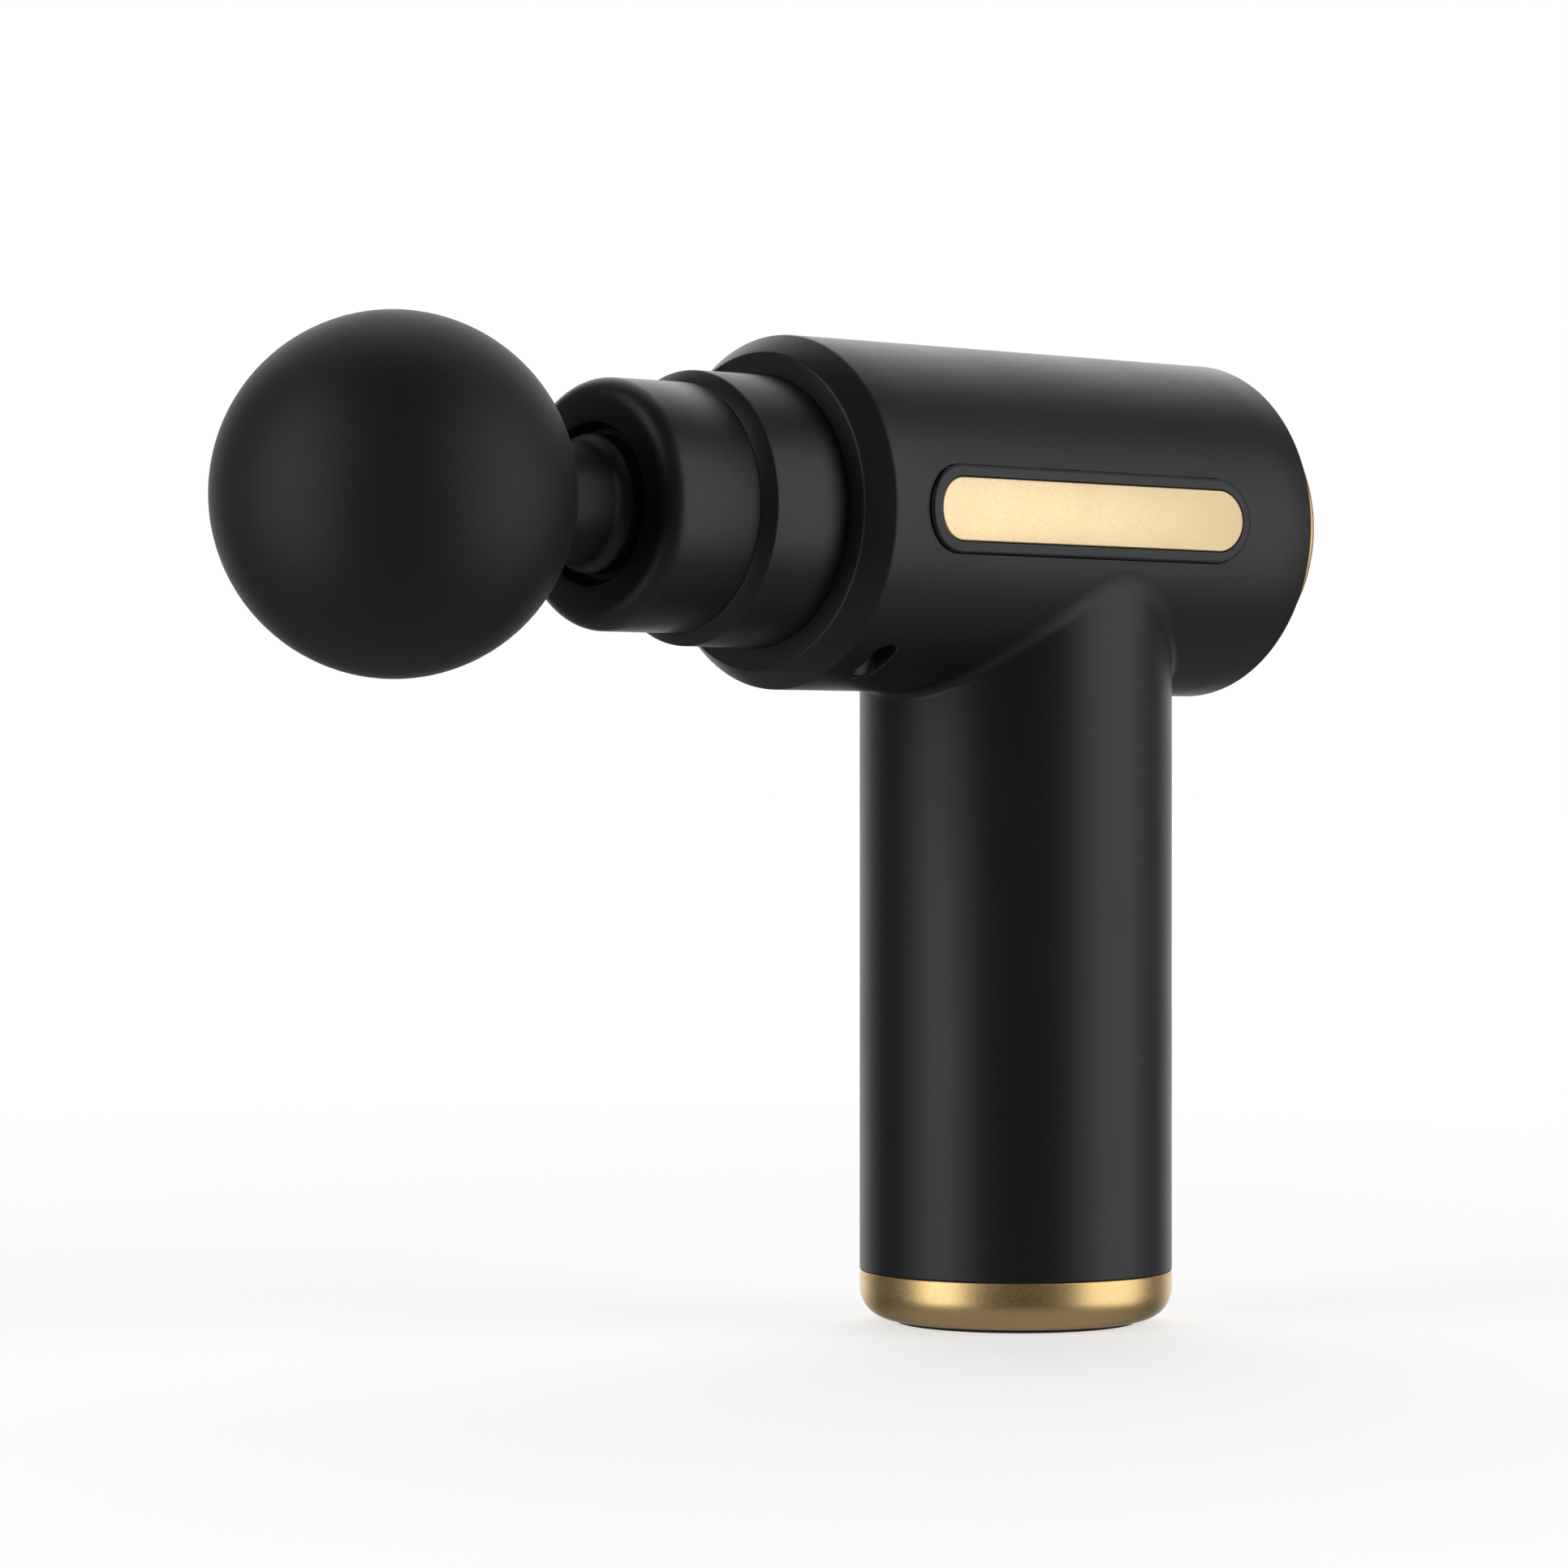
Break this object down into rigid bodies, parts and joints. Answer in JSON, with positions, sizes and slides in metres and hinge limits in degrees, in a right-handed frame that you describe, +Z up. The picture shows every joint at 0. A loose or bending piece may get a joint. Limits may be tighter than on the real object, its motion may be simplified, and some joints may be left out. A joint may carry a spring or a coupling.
{
  "type": "massage gun",
  "caption": "Compact T-shaped cordless massage gun with a round ball head, gold side inlays and gold end caps, standing on its handle.",
  "frame": {"origin": "centre of the flat foot under the handle, on the handle's axis", "axes": "+Z up along the handle, the ball head points to -Y along the barrel, +X is the gun's right side"},
  "size_m": [0.0492, 0.1763, 0.1365],
  "materials": {
    "black_housing": "satin",
    "black_nose": "satin",
    "black_trim": "satin",
    "gold_plate": "satin",
    "gold_cast": "satin",
    "gold_button": "satin",
    "ball_rubber": "matte",
    "ball_foam": "matte",
    "seal_rubber": "matte",
    "foot_rubber": "matte",
    "black_anodised": "satin",
    "steel": "satin",
    "dark_steel": "satin",
    "nylon": "matte",
    "bush_polymer": "satin",
    "light_ring": "satin",
    "board_green": "satin",
    "chip_black": "satin",
    "core_steel": "satin",
    "copper_wire": "satin",
    "magnet": "satin",
    "cell_wrap": "satin",
    "nickel": "satin",
    "red_wire": "satin",
    "black_wire": "satin"
  },
  "bodies": {
    "casing": {"guide_sleeve": "nylon", "guide_bush_front": "bush_polymer", "guide_bush_rear": "bush_polymer", "wiper_seal": "seal_rubber", "nose_cap": "black_nose", "nose_collar": "black_nose", "nose_screws": "steel", "housing": "black_housing", "side_bezel_right": "black_trim", "side_bezel_left": "black_trim", "side_plate_right": "gold_plate", "side_plate_left": "gold_plate", "rear_cover": "black_trim", "rear_cap": "gold_cast", "button_light_ring": "light_ring", "control_board": "board_green", "control_board_chips": "chip_black", "tact_switch": "chip_black", "control_board_screws": "steel", "motor_mount": "steel", "mount_screws": "steel", "motor_base": "steel", "motor_base_screws": "steel", "motor_bearings": "steel", "stator_core": "core_steel", "stator_windings": "copper_wire", "motor_leads": "red_wire", "battery_cells": "cell_wrap", "battery_tabs": "nickel", "battery_holder": "nylon", "battery_leads": "black_wire", "charge_board": "board_green", "charge_board_chips": "chip_black", "usb_shell": "steel", "usb_insert": "chip_black", "base_cap": "gold_cast", "base_pad": "foot_rubber", "base_screws": "steel"},
    "plunger": {"plunger": "black_anodised", "yoke": "nylon", "yoke_pin": "steel"},
    "head": {"ball_skin": "ball_rubber", "ball_core": "ball_foam", "head_stem": "black_nose", "stem_o_rings": "seal_rubber"},
    "rotor": {"motor_can": "dark_steel", "rotor_magnets": "magnet", "motor_shaft": "steel", "crank": "steel", "crank_clip": "dark_steel"},
    "roller": {"crank_roller": "steel"},
    "button": {"power_button": "gold_button"}
  },
  "joints": [
    {"name": "plunger_stroke", "type": "slide", "parent": "casing", "child": "plunger", "axis": [0, -1, 0], "range_m": [-0.004, 0.004]},
    {"name": "head_pull_off", "type": "slide", "parent": "plunger", "child": "head", "axis": [0, -1, 0], "range_m": [0, 0.022]},
    {"name": "motor_spin", "type": "hinge", "parent": "casing", "child": "rotor", "pos_m": [0, 0, 0.09], "axis": [0, 0, -1], "continuous": true},
    {"name": "roller_spin", "type": "hinge", "parent": "rotor", "child": "roller", "pos_m": [0.004, 0, 0.1125], "axis": [0, 0, -1], "continuous": true},
    {"name": "power_button_press", "type": "slide", "parent": "casing", "child": "button", "axis": [0, -1, 0], "range_m": [0, 0.0005], "stiffness_N_per_m": 1500, "springref_m": -0.0003}
  ],
  "couplings": [
    {"joint": "motor_spin", "follows": "plunger_stroke", "rad_per_m": 392.7}
  ]
}
